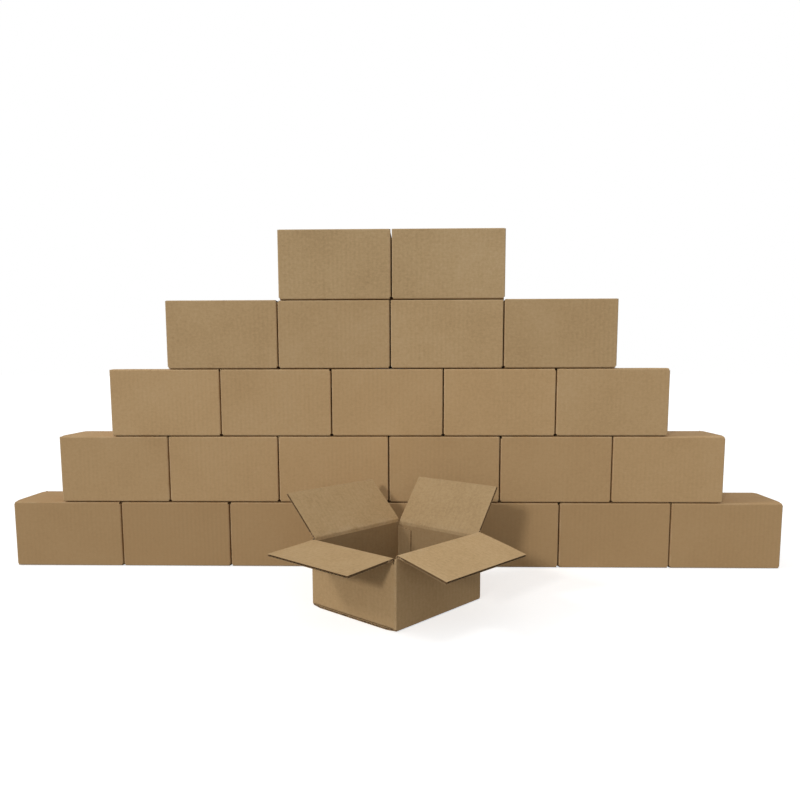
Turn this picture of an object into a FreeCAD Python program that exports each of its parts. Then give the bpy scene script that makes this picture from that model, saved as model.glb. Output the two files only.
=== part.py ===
import FreeCAD, Part
import os

# A stepped wall of closed corrugated cartons, five courses high, with one more carton standing
# open in front of it. Millimetres and degrees. The origin is on the floor, at the middle of the
# whole set: +X runs along the wall, +Y from the open carton to the wall and +Z up.

doc = FreeCAD.newDocument("CartonStack")
sheet = doc.addObject("Spreadsheet::Sheet", "dim")

# Each size that can be set by itself stands here once, with its value and what it is.
SIZES = [
    ("board_thickness", 4.0, "thickness of the corrugated board"),
    ("fold_radius", 2.0, "outside radius where the board is folded over a score"),
    ("layer_gap", 0.3, "clearance between an inner flap and the outer flap over it"),
    ("meeting_gap", 1.0, "gap where the free edges of two outer flaps meet"),
    ("slot_inset", 3.0, "how far the side edge of an outer flap stands in from the corner"),
    ("flap_clearance", 1.0, "from the side edge of an inner flap to the wall beside it"),
    ("hinge_gap", 0.15, "from the mitred edge of a hinged flap, or of its wall, to the fold's mid plane"),
    ("tab_width", 30.0, "width of the glued joint strip inside one corner"),
    ("tab_thickness", 2.5, "thickness of the crushed joint strip"),
    ("tab_drop", 2.0, "how far the joint strip stops short of the flaps above and below"),
    ("carton_length", 211.5, "outside length of a closed carton, along the wall"),
    ("carton_width", 128.0, "outside width of a closed carton, across the wall"),
    ("carton_height", 128.5, "outside height of a closed carton"),
    ("side_gap", 1.5, "gap between neighbours in a course"),
    ("second_shift", -8.7, "how far the second course lies off the middle of the first"),
    ("third_shift", -11.2, "the same for the third course"),
    ("fourth_shift", -5.0, "the same for the fourth course"),
    ("fifth_shift", -2.6, "the same for the fifth course"),
    ("open_length", 211.0, "outside length of the open carton"),
    ("open_width", 186.0, "outside width of the open carton"),
    ("open_height", 112.0, "height of the open carton at the fold of its outer flaps"),
    ("open_turn", 49.3, "turn of the open carton's long side away from the wall"),
    ("open_offset", 15.5, "from the wall's middle to the open carton's nearest corner, along the wall"),
    ("open_distance", 354.0, "from the wall's front face to the open carton's nearest corner"),
    ("front_left_open", 184.0, "how far the front left flap is turned back from closed"),
    ("front_right_open", 193.0, "the same for the front right flap"),
    ("back_left_open", 135.0, "the same for the back left flap"),
    ("back_right_open", 126.0, "the same for the back right flap"),
    ("flute_pitch", 8.2, "from one crest of the corrugated medium to the next"),
    ("crest_width", 1.6, "width of a hollow at its narrow side, under a crest"),
    ("medium_thickness", 0.6, "thickness of the corrugated medium"),
    ("liner_thickness", 0.5, "thickness of each facing sheet"),
    ("crushed_depth", 7.0, "depth of the crushed board beside a fold"),
]
for row, (alias, value, note) in enumerate(SIZES, start=1):
    sheet.set(f"A{row}", note)
    sheet.set(f"B{row}", str(value))
    sheet.setAlias(f"B{row}", alias)

# The wall is set back from the origin by a length that is measured once everything is built.
SET_BACK_CELL = f"B{len(SIZES) + 1}"
sheet.set(SET_BACK_CELL, "0")
sheet.setAlias(SET_BACK_CELL, "set_back")
doc.recompute()


def place(obj, x="0", y="0", z="0", axis=(0, 0, 1), turn="0"):
    """Bind an object's place, and its turn in degrees about one axis, to expressions."""
    base = f"create(<<vector>>; {x}; {y}; {z})"
    line = f"create(<<vector>>; {axis[0]}; {axis[1]}; {axis[2]})"
    obj.setExpression("Placement", f"create(<<placement>>; {base}; create(<<rotation>>; {line}; {turn}))")


def box(name, size, corner=("0", "0", "0")):
    """Add a box of three bound sizes with its lowest corner at a bound place."""
    obj = doc.addObject("Part::Box", name)
    for side, size_text in zip(("Length", "Width", "Height"), size):
        obj.setExpression(side, size_text)
    place(obj, *corner)
    return obj


def wedge(name, **sides):
    """Add a wedge whose named sides are bound to expressions."""
    obj = doc.addObject("Part::Wedge", name)
    for side, text in sides.items():
        obj.setExpression(side, text)
    return obj


def fuse(name, shapes):
    """Join shapes into one and merge the faces that run on."""
    obj = doc.addObject("Part::MultiFuse", name)
    obj.Shapes = shapes
    obj.Refine = True
    return obj


def cut(name, base, tools):
    """Take tools away from a base shape."""
    obj = doc.addObject("Part::Cut", name)
    obj.Base = base
    obj.Tool = fuse(name + "_tools", tools) if len(tools) > 1 else tools[0]
    obj.Refine = True
    return obj


def round_folds(name, base, wanted):
    """Round the straight edges of a box that the test picks out, to the radius of a fold."""
    obj = doc.addObject("Part::Fillet", name)
    obj.Base = base
    doc.recompute()
    edges = enumerate(base.Shape.Edges, start=1)
    radius = sheet.fold_radius
    obj.Edges = [(index, radius, radius) for index, edge in edges if wanted(edge)]
    return obj


def runs_along(edge, axis):
    """Tell whether a straight edge is parallel to an axis, by the cosine of the angle between them."""
    start, end = (vertex.Point for vertex in edge.Vertexes)
    return abs((end - start).normalize().dot(axis)) > 0.999


# The mitre of a hinged fold stands this far below, and beside, the fold's outer corner line.
MITRE = "dim.hinge_gap * sqrt(2)"
ACROSS = FreeCAD.Vector(0, 1, 0)
ALONG = FreeCAD.Vector(1, 0, 0)
UPRIGHT = FreeCAD.Vector(0, 0, 1)


def inner_reach(length, width):
    """Give how far an inner flap reaches from its fold: half the carton's shorter side."""
    return f"((min({length}; {width}) - dim.meeting_gap) / 2)"


def outer_reach(width):
    """Give how far an outer flap reaches from its fold: half the carton's width."""
    return f"(({width} - dim.meeting_gap) / 2)"


def carton(name, length, width, height, outer_folded, inner_folded):
    """Build one carton with its corner at the origin and its bottom flaps folded shut.

    The four walls and the inner flaps, which hang on the short walls, make one sleeve, and the
    long walls with the outer flaps make another around it. The top flaps of a sleeve are folded
    shut too, or else its walls end in mitres for hinged flaps.
    """
    wall_top = f"({height} - dim.board_thickness - dim.layer_gap)"
    sleeve_top = wall_top if inner_folded else f"({wall_top} - {MITRE})"
    floor = "(dim.board_thickness + dim.layer_gap)"

    walls = box(f"{name}_walls", (length, width, f"{sleeve_top} - {floor}"), ("0", "0", floor))

    def inner_fold(edge):
        high = edge.CenterOfMass.z > walls.Shape.CenterOfMass.z
        end_fold = runs_along(edge, ACROSS) and inner_folded and high
        return runs_along(edge, UPRIGHT) or end_fold

    rounded_walls = round_folds(f"{name}_rounded_walls", walls, inner_fold)
    inside = ("dim.board_thickness", "dim.board_thickness")
    inner_length = f"{length} - 2 * dim.board_thickness"
    inner_width = f"{width} - 2 * dim.board_thickness"
    reach = inner_reach(length, width)
    store_top = f"({wall_top} - dim.board_thickness)" if inner_folded else height
    store_floor = f"({floor} + dim.board_thickness)"
    store = box(f"{name}_store", (inner_length, inner_width, f"{store_top} - {store_floor}"),
                (*inside, store_floor))
    window = box(f"{name}_window", (f"{length} - 2 * {reach}", inner_width, height),
                 (reach, "dim.board_thickness", "0"))
    near_side = box(f"{name}_near_side", (inner_length, "dim.flap_clearance", height), (*inside, "0"))
    far_side = box(f"{name}_far_side", (inner_length, "dim.flap_clearance", height),
                   ("dim.board_thickness", f"{width} - dim.board_thickness - dim.flap_clearance", "0"))
    hollows = [store, window, near_side, far_side]
    if not inner_folded:
        end_mitre = wedge(f"{name}_end_mitre", Xmin="dim.board_thickness",
                          Xmax=f"{length} - dim.board_thickness", X2min="0", X2max=length,
                          Ymin="0", Ymax="dim.board_thickness",
                          Zmin="0", Zmax=inner_width, Z2min="0", Z2max=inner_width)
        place(end_mitre, "0", f"{width} - dim.board_thickness", f"{sleeve_top} - dim.board_thickness",
              (1, 0, 0), "90")
        hollows.append(end_mitre)
    inner_sleeve = cut(f"{name}_inner_sleeve", rounded_walls, hollows)

    tab_floor = f"({store_floor} + dim.tab_drop)"
    tab_top = f"({wall_top} - dim.board_thickness - dim.tab_drop)"
    tab = box(f"{name}_tab", ("dim.tab_thickness", "dim.tab_width", f"{tab_top} - {tab_floor}"),
              (f"{length} - dim.board_thickness - dim.tab_thickness",
               f"{width} - dim.board_thickness - dim.tab_width", tab_floor))

    jacket_top = height if outer_folded else f"({height} - {MITRE})"
    jacket = box(f"{name}_jacket", (f"{length} - 2 * dim.slot_inset", width, jacket_top),
                 ("dim.slot_inset", "0", "0"))

    def outer_fold(edge):
        low = edge.CenterOfMass.z < jacket.Shape.CenterOfMass.z
        return runs_along(edge, ALONG) and (outer_folded or low)

    rounded_jacket = round_folds(f"{name}_rounded_jacket", jacket, outer_fold)
    jacket_room = "- 2 * dim.board_thickness" if outer_folded else ""
    room = box(f"{name}_room", (length, inner_width, f"{height} {jacket_room}"),
               ("0", "dim.board_thickness", "dim.board_thickness"))
    slit = box(f"{name}_slit", (length, "dim.meeting_gap", height),
               ("0", f"({width} - dim.meeting_gap) / 2", "0"))
    openings = [room, slit]
    if not outer_folded:
        side_mitre = wedge(f"{name}_side_mitre", Xmin="0", Xmax=length, X2min="0", X2max=length,
                           Ymin="0", Ymax="dim.board_thickness", Zmin="dim.board_thickness",
                           Zmax=f"{width} - dim.board_thickness", Z2min="0", Z2max=width)
        place(side_mitre, "0", width, f"{jacket_top} - dim.board_thickness", (1, 0, 0), "90")
        openings.append(side_mitre)
    outer_sleeve = cut(f"{name}_outer_sleeve", rounded_jacket, openings)
    return fuse(name, [inner_sleeve, tab, outer_sleeve])


def flap_blank(name, hinge_length, reach):
    """Build a flat flap with its hinge line on the X axis, reaching along +Y under the plane Z = 0."""
    blank = wedge(name, Xmin="0", Xmax=hinge_length, X2min="0", X2max=hinge_length,
                  Ymin="0", Ymax="dim.board_thickness", Zmin=MITRE, Zmax=reach,
                  Z2min=f"dim.board_thickness + {MITRE}", Z2max=reach)
    place(blank, axis=(1, 0, 0), turn="-90")
    return blank


def flute_hollows(name, hinge_length, reach):
    """Build the hollows of a flap's corrugated middle, open at its free edge and its side edges.

    The medium is a wave of straight webs. The hollows lie side by side, half a flute apart, wide
    against one facing and then against the other, and a whole number of half flutes fits the flap.
    """
    count = round(hinge_length / (sheet.flute_pitch / 2))
    step = hinge_length / count
    narrow = sheet.crest_width / 2
    wide = step - sheet.medium_thickness - narrow
    low = -(sheet.board_thickness - sheet.liner_thickness)
    high = -sheet.liner_thickness
    over_low, under_high = low + sheet.medium_thickness, high - sheet.medium_thickness
    start = sheet.board_thickness + sheet.crushed_depth
    hollows = []
    for index in range(count + 1):
        middle = index * step
        wide_side, narrow_side = (low, under_high) if index % 2 else (high, over_low)
        corners = [(middle - wide, wide_side), (middle + wide, wide_side),
                   (middle + narrow, narrow_side), (middle - narrow, narrow_side)]
        ring = [FreeCAD.Vector(x, start, z) for x, z in corners]
        face = Part.Face(Part.makePolygon(ring + ring[:1]))
        hollows.append(face.extrude(FreeCAD.Vector(0, reach, 0)))
    obj = doc.addObject("Part::Feature", name)
    obj.Shape = Part.makeCompound(hollows)
    return obj


def fluted_flap(name, hinge_length, reach):
    """Build an open flap with its corrugated middle hollowed out."""
    blank = flap_blank(f"{name}_blank", hinge_length, reach)
    doc.recompute()
    hollows = flute_hollows(f"{name}_flutes", blank.Xmax.Value, blank.Zmax.Value)
    return cut(name, blank, [hollows])


def hang(flap, host, corner, side_turn, opened):
    """Hang a flap on a carton: its hinge starts at a corner of the carton and it is turned open."""
    seat = (f"create(<<placement>>; create(<<vector>>; {corner[0]}; {corner[1]}; {corner[2]}); "
            f"create(<<rotation>>; create(<<vector>>; 0; 0; 1); {side_turn}))")
    swing = (f"create(<<placement>>; create(<<vector>>; 0; 0; 0); "
             f"create(<<rotation>>; create(<<vector>>; 1; 0; 0); {opened}))")
    flap.setExpression("Placement", f"{host.Name}.Placement * {seat} * {swing}")


def copy_of(name, pattern):
    """Copy a finished piece, to be placed by itself."""
    obj = doc.addObject("Part::Compound", name)
    obj.Links = [pattern]
    return obj


# The wall: seven, six, five and four cartons, and two on the middle of the fourth course.
# A carton with nothing on it keeps its outer top flaps free to open.
closed_carton = carton("closed_carton", "dim.carton_length", "dim.carton_width", "dim.carton_height",
                       outer_folded=True, inner_folded=True)
lidless_carton = carton("lidless_carton", "dim.carton_length", "dim.carton_width", "dim.carton_height",
                        outer_folded=False, inner_folded=True)
COURSES = [(7, "0"), (6, "dim.second_shift"), (5, "dim.third_shift"), (4, "dim.fourth_shift"),
           (2, "dim.fifth_shift")]
UNCOVERED = [(4, 1), (4, 4), (5, 1), (5, 2)]
PITCH = "(dim.carton_length + dim.side_gap)"
closed_flap = flap_blank("closed_flap", "dim.carton_length - 2 * dim.slot_inset",
                         outer_reach("dim.carton_width"))

nodes = []
for course, (count, shift) in enumerate(COURSES, start=1):
    for number in range(1, count + 1):
        uncovered = (course, number) in UNCOVERED
        left = f"{number - 1 - count / 2} * {PITCH} + dim.side_gap / 2 + {shift}"
        host = copy_of(f"carton_{course}_{number}", lidless_carton if uncovered else closed_carton)
        place(host, left, "dim.set_back - dim.carton_width / 2", f"{course - 1} * dim.carton_height")
        nodes.append(host)
        if uncovered:
            front = copy_of(f"{host.Name}_front_flap", closed_flap)
            hang(front, host, ("dim.slot_inset", "0", "dim.carton_height"), "0", "0")
            back = copy_of(f"{host.Name}_back_flap", closed_flap)
            hang(back, host, ("dim.carton_length - dim.slot_inset", "dim.carton_width",
                              "dim.carton_height"), "180", "0")
            nodes += [front, back]

# The open carton stands on one corner's turn in front of the wall, its four flaps folded back.
open_carton = carton("open_carton", "dim.open_length", "dim.open_width", "dim.open_height",
                     outer_folded=False, inner_folded=False)
place(open_carton, "dim.open_offset", "dim.set_back - dim.carton_width / 2 - dim.open_distance", "0",
      turn="dim.open_turn")
nodes.append(open_carton)

LONG_HINGE = "dim.open_length - 2 * dim.slot_inset"
SHORT_HINGE = "dim.open_width - 2 * (dim.board_thickness + dim.flap_clearance)"
LONG_SIDE_REACH = outer_reach("dim.open_width")
SHORT_SIDE_REACH = inner_reach("dim.open_length", "dim.open_width")
INNER_TOP = "dim.open_height - dim.board_thickness - dim.layer_gap"
INSET = "(dim.board_thickness + dim.flap_clearance)"
front_right = fluted_flap("open_flap_front_right", LONG_HINGE, LONG_SIDE_REACH)
hang(front_right, open_carton, ("dim.slot_inset", "0", "dim.open_height"), "0", "dim.front_right_open")
back_left = fluted_flap("open_flap_back_left", LONG_HINGE, LONG_SIDE_REACH)
hang(back_left, open_carton, ("dim.open_length - dim.slot_inset", "dim.open_width", "dim.open_height"),
     "180", "dim.back_left_open")
front_left = fluted_flap("open_flap_front_left", SHORT_HINGE, SHORT_SIDE_REACH)
hang(front_left, open_carton, ("0", f"dim.open_width - {INSET}", INNER_TOP), "-90",
     "dim.front_left_open")
back_right = fluted_flap("open_flap_back_right", SHORT_HINGE, SHORT_SIDE_REACH)
hang(back_right, open_carton, ("dim.open_length", INSET, INNER_TOP), "90", "dim.back_right_open")
nodes += [front_right, back_left, front_left, back_right]
doc.recompute()

whole = FreeCAD.BoundBox()
for node in nodes:
    whole.add(node.Shape.BoundBox)
sheet.set(SET_BACK_CELL, str(-whole.Center.y))
doc.recompute()

for obj in doc.Objects:
    if "Invalid" in obj.State or "Error" in obj.State:
        raise RuntimeError(f"{obj.Name} failed to build")
for node in nodes:
    if node.Shape.isNull() or not node.Shape.isValid() or len(node.Shape.Solids) != 1:
        raise RuntimeError(f"{node.Name} isn't one valid solid")

os.makedirs("parts", exist_ok=True)
for node in nodes:
    node.Label = node.Name
    node.Shape.exportStep(f"parts/{node.Label}.step")
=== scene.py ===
"""Looks of a stepped wall of closed kraft cartons, with one open carton standing in front of it.

Metres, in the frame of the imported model: +X runs along the wall, +Y from the open carton to the
wall and +Z up. Each carton is one folded blank: its columns run round the four walls and its rows
run from the bottom flaps up the wall to the top flaps, so the paper's pattern follows the board.
"""

import logging
import math
import random
from dataclasses import dataclass, field
from enum import Enum
from typing import NamedTuple, Sequence

import bmesh
import bpy
from mathutils import Matrix, Vector

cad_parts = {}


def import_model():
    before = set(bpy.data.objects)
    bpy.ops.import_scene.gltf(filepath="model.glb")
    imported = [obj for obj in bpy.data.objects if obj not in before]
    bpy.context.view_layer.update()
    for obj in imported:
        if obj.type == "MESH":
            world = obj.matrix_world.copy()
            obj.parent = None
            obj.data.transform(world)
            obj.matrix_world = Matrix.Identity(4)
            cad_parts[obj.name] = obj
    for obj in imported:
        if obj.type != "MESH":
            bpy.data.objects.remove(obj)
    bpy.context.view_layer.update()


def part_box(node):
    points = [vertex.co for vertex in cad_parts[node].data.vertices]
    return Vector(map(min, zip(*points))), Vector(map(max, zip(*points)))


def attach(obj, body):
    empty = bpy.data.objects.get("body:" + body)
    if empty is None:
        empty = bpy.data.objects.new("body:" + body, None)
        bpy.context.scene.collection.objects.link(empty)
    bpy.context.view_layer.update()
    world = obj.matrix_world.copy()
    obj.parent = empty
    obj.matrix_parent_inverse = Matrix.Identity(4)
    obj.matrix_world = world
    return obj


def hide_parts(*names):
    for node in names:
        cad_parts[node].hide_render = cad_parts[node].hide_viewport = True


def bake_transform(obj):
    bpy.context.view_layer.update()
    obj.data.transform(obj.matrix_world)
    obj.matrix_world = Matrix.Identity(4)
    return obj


LOG = logging.getLogger("cartons")
BLANK_MAP = "blank"
STACK = "stack"
PAPER_GLOSS = 0.22

Colour = tuple[float, float, float, float]
Pair = tuple[float, float]
Mesh = bpy.types.Mesh
Piece = bpy.types.Object
Socket = bpy.types.NodeSocket
Tree = bpy.types.NodeTree


def linear(red: int, green: int, blue: int) -> Colour:
    """Turn a colour of 0 to 255 steps into the linear colour a shader takes."""
    def one(step: int) -> float:
        """Undo the display curve of one channel."""
        value = step / 255
        return value / 12.92 if value <= 0.04045 else ((value + 0.055) / 1.055) ** 2.4

    return one(red), one(green), one(blue), 1.0


class Top(Enum):
    """How the top flaps of a carton are held."""

    FOLDED = "all four folded shut"
    HINGED_OUTER = "inner flaps folded shut, outer flaps hinged"
    HINGED_ALL = "all four hinged"


class Edge(Enum):
    """Which way the board was cut, and so the material slot of the cut."""

    FACING = 0
    ACROSS_FLUTES = 1
    ALONG_FLUTES = 2


@dataclass(frozen=True)
class Board:
    """Sizes of the corrugated board and of the way it is folded, in metres."""

    # The board and its folds, as the solids have them.
    thickness: float = 0.004
    fold_radius: float = 0.002
    layer_gap: float = 0.0003
    meeting_gap: float = 0.001
    slot_inset: float = 0.0021
    flap_clearance: float = 0.001
    mitre: float = 0.00021
    liner: float = 0.0005
    medium: float = 0.0006
    flute_pitch: float = 0.0082
    crushed_zone: float = 0.007
    tab_width: float = 0.030
    tab_thickness: float = 0.0025
    tab_drop: float = 0.002
    # What only the visible board has: soft folds, flaps that sag and spread, thin gaps, and painted
    # shade in the flute hollows.
    bottom_gap: float = 0.0001
    # Painted shade of the facings' faces that look into the flute hollows.
    hidden_shade: float = 0.4
    ease: float = 0.0010
    ease_run: float = 0.016
    corner_thickness: float = 0.0019
    edge_rows: Pair = (0.002, 0.006)
    row_gap: float = 0.0003
    flare: float = 0.0024
    flare_run: float = 0.018
    sag_run: float = 0.03
    bottom_sag: float = 0.3
    glue_gap: float = 0.0001
    tab_taper: float = 0.006
    slab_gap: float = 0.00001
    wave_end: float = 0.0004
    bead_clear: float = 0.00004
    bead_skin: float = 0.0009
    bead_gap: float = 0.0004
    bead_spare: float = 0.12
    sharp_degrees: float = 38.0
    sharp_wave_degrees: float = 50.0


BOARD = Board()


@dataclass(frozen=True)
class SheetPoint:
    """A point of a sheet: both faces, its place on the flat blank, nearness of a fold, shades."""

    outer: Vector
    inner: Vector
    blank: Pair
    fold: float = 0.0
    shade: Pair = (1.0, 1.0)


class FoldedSheet:
    """A sheet with a thickness, put together from patches that share their edges."""

    def __init__(self) -> None:
        """Start with no patch."""
        self._numbers: dict[tuple, int] = {}
        self._points: list[SheetPoint] = []
        self._faces: list[list[tuple[int, Pair]]] = []

    def _number(self, point: SheetPoint) -> int:
        """Give the number of a point, and the same number to points in the same place."""
        key = tuple(round(value, 6) for value in (*point.outer, *point.inner))
        if key not in self._numbers:
            self._numbers[key] = len(self._points)
            self._points.append(point)
        return self._numbers[key]

    def patch(self, rows: Sequence[Sequence[SheetPoint]]) -> None:
        """Add rows of points, whose outer face looks along rows crossed with columns."""
        for lower, upper in zip(rows, rows[1:]):
            for step in range(len(lower) - 1):
                corners = (lower[step], lower[step + 1], upper[step + 1], upper[step])
                self._faces.append([(self._number(corner), corner.blank) for corner in corners])

    def mesh(self, name: str, place: Matrix, tone: float, warmth: float,
             inside_painted_shade: float = 1.0) -> Mesh:
        """Make the mesh: both faces of every patch and strips along the edges that nothing shares.

        Args:
            name: Name of the mesh.
            place: Where the sheet stands.
            tone: How light this board is, about one.
            warmth: How far its colour leans to red, from zero to one.
            inside_painted_shade: Painted shade of the inner face: how much darker it is drawn than
                the outer one.

        Returns:
            A closed mesh with the blank as its UV map and the attributes fold, tone and warmth.
        """
        polygons: list[list[int]] = []
        maps: list[Sequence[Pair]] = []
        slots: list[int] = []
        open_edges: dict[tuple[int, int], tuple[Pair, Pair]] = {}
        for face in self._faces:
            numbers, blanks = zip(*face)
            polygons.append([2 * number for number in numbers])
            polygons.append([2 * number + 1 for number in reversed(numbers)])
            maps += [blanks, blanks[::-1]]
            slots += [Edge.FACING.value] * 2
            for (first, start), (second, end) in zip(face, face[1:] + face[:1]):
                if open_edges.pop((second, first), None) is None:
                    open_edges[(first, second)] = start, end
        for (first, second), (start, end) in open_edges.items():
            sideways = abs(start[0] - end[0]) > abs(start[1] - end[1])
            axis = 0 if sideways else 1
            deep = (self._points[first].outer - self._points[first].inner).length
            polygons.append([2 * second, 2 * first, 2 * first + 1, 2 * second + 1])
            maps.append([(end[axis], 0.0), (start[axis], 0.0),
                         (start[axis], deep), (end[axis], deep)])
            slots.append((Edge.ACROSS_FLUTES if sideways else Edge.ALONG_FLUTES).value)

        mesh = bpy.data.meshes.new(name)
        sides = [place @ side for point in self._points for side in (point.outer, point.inner)]
        mesh.from_pydata(sides, [], polygons)
        flat = [value for blanks in maps for blank in blanks for value in blank]
        mesh.uv_layers.new(name=BLANK_MAP).data.foreach_set("uv", flat)
        mesh.polygons.foreach_set("material_index", slots)
        write_attribute(mesh, "fold", [point.fold for point in self._points for _ in range(2)])
        # Each face's tone is the board's lightness times its painted shade; the inner face also
        # takes the painted shade of the inside.
        tones = [tone * shade * side for point in self._points
                 for shade, side in zip(point.shade, (1.0, inside_painted_shade))]
        write_attribute(mesh, "tone", tones)
        close_doubles(mesh)
        write_attribute(mesh, "warmth", [warmth] * len(mesh.vertices))
        return mesh


def write_attribute(mesh: Mesh, name: str, values: Sequence[float]) -> None:
    """Write one number per vertex."""
    attribute = mesh.attributes.get(name) or mesh.attributes.new(name, "FLOAT", "POINT")
    attribute.data.foreach_set("value", values)


def smooth(mesh: Mesh, sharp_degrees: float) -> None:
    """Shade a mesh smooth up to edges of an angle."""
    mesh.polygons.foreach_set("use_smooth", [True] * len(mesh.polygons))
    mesh.set_sharp_from_angle(angle=math.radians(sharp_degrees))


def close_doubles(mesh: Mesh) -> None:
    """Merge vertices that lie in one place, and shade the mesh smooth up to a sharp edge."""
    work = bmesh.new()
    work.from_mesh(mesh)
    bmesh.ops.remove_doubles(work, verts=work.verts, dist=2e-6)
    bmesh.ops.dissolve_degenerate(work, edges=work.edges, dist=1e-6)
    work.to_mesh(mesh)
    work.free()
    smooth(mesh, BOARD.sharp_degrees)


def spread(start: float, end: float, parts: int) -> list[float]:
    """Give evenly spaced stations from start to end, both included."""
    return [start + (end - start) * step / parts for step in range(parts + 1)]


def edged(start: float, end: float, parts: int) -> list[float]:
    """Give stations from start to end that stand closer together beside both ends."""
    near, off = BOARD.edge_rows
    return [start, start + near, *spread(start + off, end - off, parts), end - near, end]


def arc_steps(parts: int, start: float = 0.0, end: float = 90.0) -> list[float]:
    """Give the angles, in radians, of the stations along an arc given in degrees."""
    return [math.radians(angle) for angle in spread(start, end, parts)]


class FlapRow(NamedTuple):
    """A row of a folded flap: distance in from the wall, height, place up the blank, fold."""

    inset: float
    rise: float
    travel: float
    fold: float


@dataclass(frozen=True)
class Wall:
    """One wall of a carton: its start corner, its run and its inward direction, seen from above."""

    start: Vector
    run: Vector
    inward: Vector
    length: float
    blank_start: float
    outer_flaps: bool


@dataclass
class Carton:
    """A carton folded from one blank, with its bottom flaps shut.

    The long walls carry the outer flaps and the short walls the inner ones.
    """

    node: str
    length: float
    width: float
    height: float
    place: Matrix
    top: Top
    seed: int
    tone: float = 1.0
    warmth: float = 0.0
    # Painted shade of the inside faces: how much darker they are drawn than the outer faces.
    inside_painted_shade: float = 1.0
    bow: float = 0.0006
    sag: float = 0.0006
    lean: float = 0.25
    notched_share: float = 0.5
    peak_drop: Pair = (0.0004, 0.0012)
    walls: list[Wall] = field(default_factory=list)

    def __post_init__(self) -> None:
        """Lay the four walls out round the carton, from the corner with the glued joint."""
        corners = [Vector((self.length, self.width, 0)), Vector((0, self.width, 0)),
                   Vector((0, 0, 0)), Vector((self.length, 0, 0))]
        runs = [Vector((-1, 0, 0)), Vector((0, -1, 0)), Vector((1, 0, 0)), Vector((0, 1, 0))]
        blank_start = 0.0
        for number, (corner, run) in enumerate(zip(corners, runs)):
            is_long = number % 2 == 0
            size = self.length if is_long else self.width
            self.walls.append(Wall(corner, run, Vector((-run.y, run.x, 0)), size, blank_start,
                                   is_long))
            blank_start += size
        chance = random.Random(self.seed)
        self._bows = [chance.uniform(-1.0, 0.35) * self.bow for _ in self.walls]
        self._sags = [chance.uniform(0.3, 1.0) * self.sag for _ in self.walls]
        self._lean = chance.uniform(-1.0, 1.0) * self.lean
        notched = self.notched_share if self.top is Top.FOLDED else 0.0
        self._peaks = [0.0 if chance.random() < notched
                       else self.sleeve_floor - chance.uniform(*self.peak_drop) for _ in self.walls]

    @property
    def sleeve_floor(self) -> float:
        """Height of the lower fold of the inner flaps."""
        return BOARD.thickness + BOARD.layer_gap

    @property
    def sleeve_top(self) -> float:
        """Height of the upper fold of the inner flaps."""
        return self.height - self.sleeve_floor

    def _rows(self) -> list[float]:
        """Give the heights of the rows that all walls share."""
        low = self.sleeve_floor + BOARD.thickness + BOARD.row_gap
        return edged(low, self.height - low, 6)

    @staticmethod
    def _share(wall: Wall, along: float) -> float:
        """Give how far along a wall a point is, from zero to one between its corners."""
        radius = BOARD.fold_radius
        return min(max((along - radius) / (wall.length - 2 * radius), 0.0), 1.0)

    def _inside(self, spot: Vector, skin: float) -> Vector:
        """Move a point of the outer face to the inner one, which lies in by a skin."""
        return Vector((min(max(spot.x, skin), self.length - skin),
                       min(max(spot.y, skin), self.width - skin), spot.z))

    def _on_wall(self, wall: Wall, along: float, rise: float, fold: float = 0.0) -> SheetPoint:
        """Place a point of a wall, which bows a little.

        Args:
            wall: Wall that the point belongs to.
            along: Distance from the wall's start corner.
            rise: Height of the point.
            fold: How near a fold is, from zero to one.

        Returns:
            The point, with the outer and the inner face.
        """
        share = self._share(wall, along)
        up = min(max(rise / self.height, 0.0), 1.0)
        swell = math.sin(math.pi * share) * math.sin(math.pi * up)
        swell *= -self._bows[self.walls.index(wall)]
        pushed = wall.inward * (swell * (1 + self._lean * (share - 0.5)))
        outer = wall.start + wall.run * along + Vector((0, 0, rise))
        inner = self._inside(outer, BOARD.thickness)
        return SheetPoint(outer + pushed, inner + pushed, (wall.blank_start + along, rise), fold)

    def _on_flap(self, wall: Wall, along: float, row: FlapRow) -> SheetPoint:
        """Place a point of a folded flap, which sags a little.

        Args:
            wall: Wall that carries the flap.
            along: Distance from the wall's start corner, at the fold.
            row: Row of the flap.

        Returns:
            The point, with the outer and the inner face.
        """
        share = self._share(wall, along)
        if wall.outer_flaps:
            along += self._flare(row.inset) * (2 * share - 1)
        foot = wall.start + wall.run * along
        outer = foot + wall.inward * row.inset + Vector((0, 0, row.rise))
        inner = foot + wall.inward * max(row.inset, BOARD.thickness)
        skin = BOARD.thickness + (0.0 if wall.outer_flaps else self.sleeve_floor)
        inner.z = min(max(row.rise, skin), self.height - skin)
        settle = self._sags[self.walls.index(wall)] * math.sin(math.pi * share)
        settle *= min(row.inset / BOARD.sag_run, 1.0)
        upper = row.rise > self.height / 2
        pushed = Vector((0, 0, -settle if upper else settle * BOARD.bottom_sag))
        return SheetPoint(outer + pushed, inner + pushed, (wall.blank_start + along, row.travel),
                          row.fold)

    @staticmethod
    def _flare(inset: float) -> float:
        """Give how much further than at its fold an outer flap reaches to either side."""
        share = min(max((inset - BOARD.thickness) / BOARD.flare_run, 0.0), 1.0)
        return BOARD.flare * share * share * (3 - 2 * share)

    def _straight(self, wall: Wall) -> list[float]:
        """Give the stations along a wall's flap, from its one side edge to the other."""
        margin = BOARD.slot_inset if wall.outer_flaps else BOARD.thickness + BOARD.flap_clearance
        return edged(margin, wall.length - margin, 10)

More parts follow.
